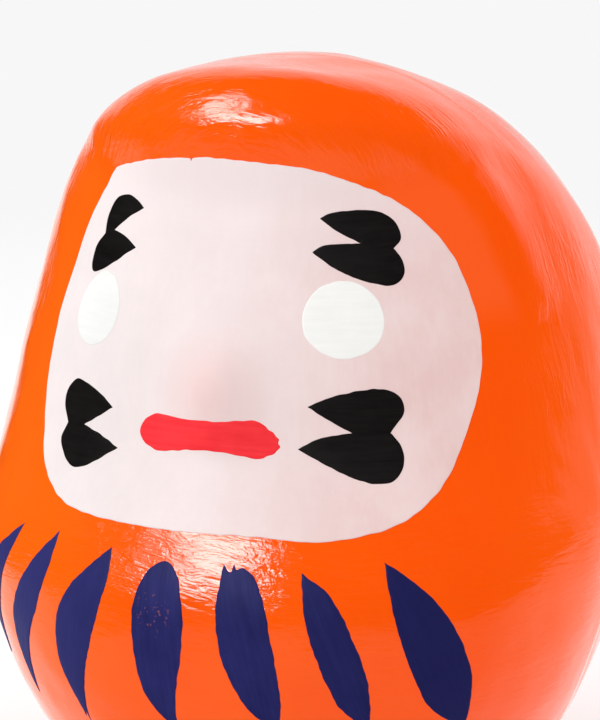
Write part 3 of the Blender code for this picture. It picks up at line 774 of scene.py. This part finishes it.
# ---------------------------------------------------------------- materials
def lacquer():
    """Glossy orange lacquer with brush strokes, pasted lumps, grit and a few pinholes, with light, shade and
    a sheen painted into its colour.
    """
    material, tree, shader = start_material("orange_lacquer_brushed")
    place = object_place(tree)
    front, rear = attribute(tree, "brush"), attribute(tree, "brush_rear")
    behind = attribute(tree, "rear", "Fac")
    coarse = mix_value(tree, behind, streaks(tree, front, 1.7, 7.0, 3.0, 0.6, 1.1),
                       streaks(tree, rear, 1.7, 7.5, 3.0, 0.6, 1.1))
    fine = mix_value(tree, behind, streaks(tree, front, 0.42, 6.0), streaks(tree, rear, 0.45, 6.0))
    lumps = noise(tree, place, 5.0)
    patches = noise(tree, place, 24.0, 3.0, 0.55)
    grit = noise(tree, place, 1.1)
    dots = pinholes(tree, place, 4.0, 0.32, 0.35)
    worked = maths(tree, "MULTIPLY", attribute(tree, "worked", "Fac"),
                   mapped(tree, noise(tree, place, 16.0), 0.38, 0.62, 0.5, 1.5))
    height = maths(tree, "MULTIPLY_ADD", fine, 0.30, maths(tree, "MULTIPLY", coarse, 1.3))
    height = maths(tree, "MULTIPLY", maths(tree, "MULTIPLY_ADD", grit, 0.28, height), worked)
    height = maths(tree, "ADD", lumps, height)
    height = maths(tree, "MULTIPLY_ADD", dots, 0.5, height)
    bump(tree, shader, height, 0.075)
    colour = mix_colour(tree, tone_of(tree, patches, fine, 0.25, 0.12), LACQUER_THIN, LACQUER_FULL)
    # Painted light and shade: the lacquer is yellower where the lamps light the -X side, deeper on the
    # shaded +X side, lighter at the +X rim.
    colour = tinted(tree, xyz_of(tree, place)[0], colour, LACQUER_LIGHT_AND_SHADE_TINTS)
    # Painted reflection: the paler sheen between the face and the hood's rib.
    colour = mix_colour(tree, attribute(tree, "pale", "Fac"), colour, LACQUER_PAINTED_SHEEN)
    tree.links.new(colour, shader.inputs["Base Color"])
    tree.links.new(mapped(tree, fine, 0.3, 0.7, 0.05, 0.11), shader.inputs["Roughness"])
    shader.inputs["IOR"].default_value = 1.5
    return material


def face_paint():
    """Matt pale pink, brushed level and a little uneven, with light and shade painted across it and a
    painted shadow under the nose.
    """
    material, tree, shader = start_material("face_pink_brushed")
    place = object_place(tree)
    brush = attribute(tree, "brush")
    coarse = streaks(tree, brush, 1.6, 18.0, 3.0, 0.6, 0.3)
    fine = streaks(tree, brush, 0.35, 9.0)
    bump(tree, shader, maths(tree, "MULTIPLY_ADD", fine, 0.3, coarse), 0.035)
    smudge = noise(tree, place, 16.0, 4.0, 0.6)
    upright = noise(tree, scaled(tree, place, (0.9, 0.9, 0.09)), 1.0, 2.0, 0.55)
    x, _, z = xyz_of(tree, place)
    # Painted light and shade: the face is toned down where the lamps hit the -X side, pinker and darker on
    # the shaded +X side, and paler near the top.
    full = tinted(tree, z, tinted(tree, x, FACE_BASE, FACE_LIGHT_AND_SHADE_ACROSS), FACE_LIGHT_UP)
    mottled = maths(tree, "MULTIPLY", tone_of(tree, smudge, upright, 0.2, 0.12), 0.35)
    colour = mix_colour(tree, mottled, full, FACE_MOTTLING)
    # Painted shadow: a pinker, darker patch under the nose.
    nose_shadow_centre = tuple(skin(NOSE_SHADOW_PLACE[0], level_at(NOSE_SHADOW_PLACE[1])))
    away = vector_maths(tree, "DISTANCE", place, nose_shadow_centre).outputs["Value"]
    nose_shadow = maths(tree, "MULTIPLY", mapped(tree, away, *NOSE_SHADOW_FADE),
                  mapped(tree, smudge, 0.35, 0.65, 0.7, 1.0))
    tree.links.new(mix_colour(tree, nose_shadow, colour, NOSE_SHADOW_COLOUR), shader.inputs["Base Color"])
    tree.links.new(mapped(tree, fine, 0.3, 0.7, 0.50, 0.62), shader.inputs["Roughness"])
    shader.inputs["Specular IOR Level"].default_value = 0.06
    return material


def mark_paint(name, tones, smoothest, roughest, depth=0.05, shading_tints=(), speckled=False):
    """Matt poster paint with its brush grain, from a brush dragged along the mark."""
    material, tree, shader = start_material(name)
    brush = attribute(tree, "brush")
    place = object_place(tree)
    coarse = streaks(tree, brush, 0.9, 14.0, 3.0, 0.6, 0.2)
    fine = streaks(tree, brush, 0.25, 7.0)
    bump(tree, shader, maths(tree, "MULTIPLY_ADD", fine, 0.35, coarse), depth)
    blot = noise(tree, place, 7.0, 3.0, 0.6)
    colour = mix_colour(tree, tone_of(tree, coarse, blot, 0.45, 0.14), *tones)
    # Painted light and shade on the navy: lighter on the lamp-lit -X side, darker on the +X side.
    if shading_tints:
        colour = tinted(tree, xyz_of(tree, place)[0], colour, shading_tints)
    # Reddish-brown specks on one robe stroke, thinning out from a spot.
    if speckled:
        spot = tuple(skin(SPECKLE_PLACE[0], level_at(SPECKLE_PLACE[1])))
        away = vector_maths(tree, "DISTANCE", place, spot).outputs["Value"]
        near = mapped(tree, away, 0.5 * SPECKLE_REACH, SPECKLE_REACH, 0.6, 0.0)
        speck = mapped(tree, noise(tree, place, 1.0 / 1.5, 3.0, 0.6), 0.60, 0.68, 0.0, 1.0)
        colour = mix_colour(tree, maths(tree, "MULTIPLY", near, speck), colour, SPECKLE_COLOUR)
    tree.links.new(colour, shader.inputs["Base Color"])
    tree.links.new(mapped(tree, fine, 0.3, 0.7, smoothest, roughest), shader.inputs["Roughness"])
    shader.inputs["Specular IOR Level"].default_value = 0.04
    return material


def paper(name, dark, light, grain, depth):
    """Plain paper, board or dried clay: fibres or grains, blotches and a dry surface."""
    material, tree, shader = start_material(name)
    place = object_place(tree)
    drawn_out = scaled(tree, place, (1.0 / grain, 0.35 / grain, 1.0 / grain))
    fibres = noise(tree, drawn_out, 1.0, 5.0, 0.65, 0.6)
    blotch = noise(tree, place, 14.0, 4.0, 0.6)
    bump(tree, shader, fibres, depth)
    colour = mix_colour(tree, tone_of(tree, fibres, blotch, 0.5, 0.15), dark, light)
    tree.links.new(colour, shader.inputs["Base Color"])
    tree.links.new(mapped(tree, fibres, 0.3, 0.7, 0.75, 0.95), shader.inputs["Roughness"])
    return material


# ---------------------------------------------------------------- build
def build_films():
    """One film for each painted patch, in the order it is brushed on."""
    film("face_paint", "face_patch", wobble(outline_of(FACE_OUTLINE), *FACE_WOBBLE), FACE_FILM,
         face_paint(), "face_pink", level_grain)
    # Painted light and shade: each eye white has its own tones, the lamp-lit right one darker.
    for side, shape, tones in (("left_eye", LEFT_EYE, LEFT_WHITE_PAINTED_LIGHT_TONES),
                               ("right_eye", RIGHT_EYE, RIGHT_WHITE_PAINTED_SHADE_TONES)):
        white = mark_paint(side + "_white", tones, 0.38, 0.48)
        film(side + "_paint", side, wobble(outline_of(oval(*shape)), *EYE_WOBBLE), MARK_FILM,
             white, side + "_paint", level_grain)
    black = mark_paint("black_mark_paint", BLACK_TONES, 0.42, 0.60)
    for node, shape in (("left_brow", LEFT_BROW), ("right_brow", RIGHT_BROW),
                        ("left_whiskers", LEFT_WHISKERS), ("right_whiskers", RIGHT_WHISKERS)):
        film(node + "_paint", node, wobble(outline_of(shape), *MARK_WOBBLE), MARK_FILM,
             black, "black_paint", level_grain)
    film("mouth_paint", "mouth", wobble(outline_of(MOUTH), *LOOSE_WOBBLE), MARK_FILM,
         mark_paint("red_mouth_paint", RED_TONES, 0.42, 0.55), "red_paint", level_grain)
    navy = mark_paint("navy_robe_paint", NAVY_TONES, 0.40, 0.55, 0.06, NAVY_LIGHT_AND_SHADE, True)
    for number, runs in enumerate(STROKES, start=1):
        path = wobble(outline_of(runs), *LOOSE_WOBBLE)
        film("stroke_%d_paint" % number, "stroke_%d" % number, path, STROKE_FILM,
             navy, "navy_paint", grain_along(path))


def dress_cad_pieces():
    """Paper, board and clay for the CAD pieces that show as they are."""
    for node, *look in PAPER_PIECES:
        material = paper(*look)
        for holder in frame["nodes"][node].material_slots:
            holder.material = material


build_body(lacquer())
build_films()
dress_cad_pieces()


# ---------------------------------------------------------------- stage
FLOOR_HALF = 6
FLOOR_SWEEP = (0.12, 0.9)
FLOOR_ALBEDO, FLOOR_GLOW_NEAR, FLOOR_GLOW_FAR = 0.42, 0.50, 0.93

# Studio as light and reflections see it.  Azimuth here is 0 straight behind the
# doll and positive towards +X, so that the backdrop has no wrap.  A ramp is (from,
# to, value at from, value at to), in degrees or in brightness.
BACKDROP_TURN, BACKDROP_HALF, BACKDROP_PEAK, BACKDROP_RISE = -14.0, 56.0, -15.0, 1.25
SIDE_ROOF_START, SIDE_ROOF = (24.0, 34.0, 0.0, 1.0), (40.0, 88.0, 40.0, 28.0)
BACKDROP_LEFT_END = (4.0, 26.0, 63.0, 88.0)
BACKDROP_SIDE_EDGE, BACKDROP_TOP_EDGE = (-2.0, 4.0, 1.0, 0.0), (-1.0, 2.0, 1.0, 0.0)
BACKDROP_SHINE = ((0.0, 18.0, 0.84, 1.25), (36.0, 58.0, 1.25, 0.48))
TABLE_END, TABLE_RIGHT_END = (72.0, 112.0, -2.0, -23.0), (-50.0, -40.0, -13.0, 0.0)
TABLE_EDGE, TABLE_SHINE = (-1.5, 1.5, 1.0, 0.0), (52.0, 98.0, 1.15, 0.42)
ROOM_GLOW, CAMERA_GLOW = 0.008, 0.93
DOME_FILL, BACKDROP_FILL = 0.93, 0.75
FILL_SIDES, FILL_TOP = (BACKDROP_HALF - 10.0, BACKDROP_HALF + 25.0, 1.0, 0.0), (40.0, 65.0, 1.0, 0.0)

# Lamps: (name, azimuth, elevation, distance, size, watts, roll, seen in reflections).
# The ones that reflections see give no diffuse light, and the others only that.
LAMPS = (
    ("soft_key", -58.0, 40.0, 1.2, (1.3, 1.1), 6.2, 0.0, False),
    ("left_fill", -118.0, 14.0, 1.2, (1.0, 1.0), 3.2, 0.0, False),
    ("softbox_low", -16.0, 23.0, 1.2, (0.64, 0.60), 20.0, 3.0, True),
    ("softbox_high", -42.0, 51.0, 1.2, (0.38, 0.52), 7.4, 8.0, True),
    ("softbox_skirt", -29.0, 26.0, 1.25, (0.86, 0.90), 4.2, 4.0, True),
)

# Camera and lamps look at this point
AIM = Vector((0.0, 0.0, 0.088))
CAMERA_AZIMUTH, CAMERA_ELEVATION, CAMERA_DISTANCE, CAMERA_SIDESTEP = 21.0, 10.0, 0.7, 0.00125
CAMERA_LENS, CAMERA_SENSOR, CAMERA_CLIP = 173.0, 36.0, 0.01


def floor_material():
    """Lit white floor that runs out into an evenly pale sweep."""
    material, tree, shader = start_material("pale_floor")
    place = tree.nodes.new("ShaderNodeTexCoord").outputs["Object"]
    length = vector_maths(tree, "LENGTH", place).outputs["Value"]
    far = mapped(tree, length, *FLOOR_SWEEP, 0.0, 1.0)
    tree.links.new(mix_value(tree, far, FLOOR_ALBEDO, 0.0), shader.inputs["Base Color"])
    shader.inputs["Roughness"].default_value = 0.9
    shader.inputs["Specular IOR Level"].default_value = 0.0
    shader.inputs["Emission Color"].default_value = (1.0, 1.0, 1.0, 1.0)
    glow = mix_value(tree, far, FLOOR_GLOW_NEAR, FLOOR_GLOW_FAR)
    tree.links.new(glow, shader.inputs["Emission Strength"])
    return material


def build_floor():
    mesh = bpy.data.meshes.new("floor")
    corners = [(-FLOOR_HALF, -FLOOR_HALF, 0), (FLOOR_HALF, -FLOOR_HALF, 0),
               (FLOOR_HALF, FLOOR_HALF, 0), (-FLOOR_HALF, FLOOR_HALF, 0)]
    mesh.from_pydata(corners, [], [(0, 1, 2, 3)])
    mesh.materials.append(floor_material())
    floor = bpy.data.objects.new("floor", mesh)
    bpy.context.scene.collection.objects.link(floor)
    floor.visible_glossy = False


def backdrop_glow(tree, azimuth, elevation):
    """Bright backdrop behind the doll, higher and further round on the +X side."""
    leaning = maths(tree, "COSINE", maths(tree, "RADIANS", maths(tree, "ADD", azimuth, -BACKDROP_PEAK)))
    roof = maths(tree, "DEGREES", maths(tree, "ARCTANGENT", maths(tree, "MULTIPLY", leaning, BACKDROP_RISE)))
    side_roof = maths(tree, "MULTIPLY", mapped(tree, azimuth, *SIDE_ROOF_START),
                      mapped(tree, azimuth, *SIDE_ROOF))
    over = maths(tree, "SUBTRACT", elevation, maths(tree, "MAXIMUM", roof, side_roof))
    past_left = maths(tree, "SUBTRACT", azimuth, mapped(tree, elevation, *BACKDROP_LEFT_END))
    past_right = maths(tree, "SUBTRACT", -BACKDROP_HALF - BACKDROP_TURN, azimuth)
    beyond = maths(tree, "MAXIMUM", past_left, past_right)
    panel = maths(tree, "MULTIPLY", mapped(tree, beyond, *BACKDROP_SIDE_EDGE),
                  mapped(tree, over, *BACKDROP_TOP_EDGE))
    rising, falling = BACKDROP_SHINE
    shine = maths(tree, "MINIMUM", mapped(tree, azimuth, *rising), mapped(tree, azimuth, *falling))
    return maths(tree, "MULTIPLY", panel, shine)


def table_glow(tree, azimuth, elevation):
    """Bright table below the horizon, which ends nearer the doll in front than behind."""
    aside = maths(tree, "ABSOLUTE", azimuth)
    shore = maths(tree, "MINIMUM", mapped(tree, aside, *TABLE_END),
                  mapped(tree, azimuth, *TABLE_RIGHT_END))
    brink = maths(tree, "SUBTRACT", elevation, shore)
    return maths(tree, "MULTIPLY", mapped(tree, brink, *TABLE_EDGE), mapped(tree, aside, *TABLE_SHINE))


def build_world():
    """Pale studio for the camera, a soft dome for diffuse light, bright panels for gloss."""
    world = bpy.data.worlds.new("studio")
    bpy.context.scene.world = world
    world.use_nodes = True
    tree = world.node_tree
    tree.nodes.clear()
    x, y, z = xyz_of(tree, tree.nodes.new("ShaderNodeTexCoord").outputs["Generated"])
    elevation = maths(tree, "DEGREES", maths(tree, "ARCSINE", z))
    azimuth = maths(tree, "DEGREES", maths(tree, "ARCTAN2", x, y))
    gloss = maths(tree, "MAXIMUM", backdrop_glow(tree, azimuth, elevation),
                  table_glow(tree, azimuth, elevation))
    gloss = maths(tree, "ADD", gloss, ROOM_GLOW)
    off = maths(tree, "ABSOLUTE", maths(tree, "ADD", azimuth, BACKDROP_TURN))
    wide = maths(tree, "MULTIPLY", mapped(tree, off, *FILL_SIDES), mapped(tree, elevation, *FILL_TOP))
    soft = maths(tree, "MULTIPLY_ADD", wide, BACKDROP_FILL, DOME_FILL)
    rays = tree.nodes.new("ShaderNodeLightPath")
    strength = mix_value(tree, rays.outputs["Is Diffuse Ray"], gloss, soft)
    strength = mix_value(tree, rays.outputs["Is Camera Ray"], strength, CAMERA_GLOW)
    background = tree.nodes.new("ShaderNodeBackground")
    background.inputs["Color"].default_value = (1.0, 1.0, 1.0, 1.0)
    tree.links.new(strength, background.inputs["Strength"])
    output = tree.nodes.new("ShaderNodeOutputWorld")
    tree.links.new(background.outputs[0], output.inputs["Surface"])


def direction(azimuth, elevation):
    a, e = math.radians(azimuth), math.radians(elevation)
    return Vector((math.sin(a) * math.cos(e), -math.cos(a) * math.cos(e), math.sin(e)))


def facing(way):
    """Rotation of a lamp or camera that stands out along this way and looks back."""
    return (-way).to_track_quat("-Z", "Y")


def build_lamp(name, azimuth, elevation, distance, size, watts, roll, in_gloss):
    light = bpy.data.lights.new(name, "AREA")
    light.shape = "RECTANGLE"
    light.size, light.size_y = size
    light.energy = watts
    lamp = bpy.data.objects.new(name, light)
    way = direction(azimuth, elevation)
    lamp.location = AIM + way * distance
    lamp.rotation_mode = "QUATERNION"
    lamp.rotation_quaternion = facing(way) @ Quaternion((0, 0, 1), math.radians(roll))
    lamp.visible_camera = False
    lamp.visible_glossy = in_gloss
    lamp.visible_diffuse = not in_gloss
    bpy.context.scene.collection.objects.link(lamp)


def build_camera():
    data = bpy.data.cameras.new("camera")
    data.lens = CAMERA_LENS
    data.sensor_width = CAMERA_SENSOR
    data.clip_start = CAMERA_CLIP
    camera = bpy.data.objects.new("camera", data)
    bpy.context.scene.collection.objects.link(camera)
    way = direction(CAMERA_AZIMUTH, CAMERA_ELEVATION)
    camera.rotation_mode = "QUATERNION"
    camera.rotation_quaternion = facing(way)
    right_hand = camera.rotation_quaternion @ Vector((1.0, 0.0, 0.0))
    camera.location = AIM + way * CAMERA_DISTANCE - right_hand * CAMERA_SIDESTEP
    bpy.context.scene.camera = camera


build_floor()
build_world()
for row in LAMPS:
    build_lamp(*row)
build_camera()
bpy.context.scene.view_settings.view_transform = "Standard"
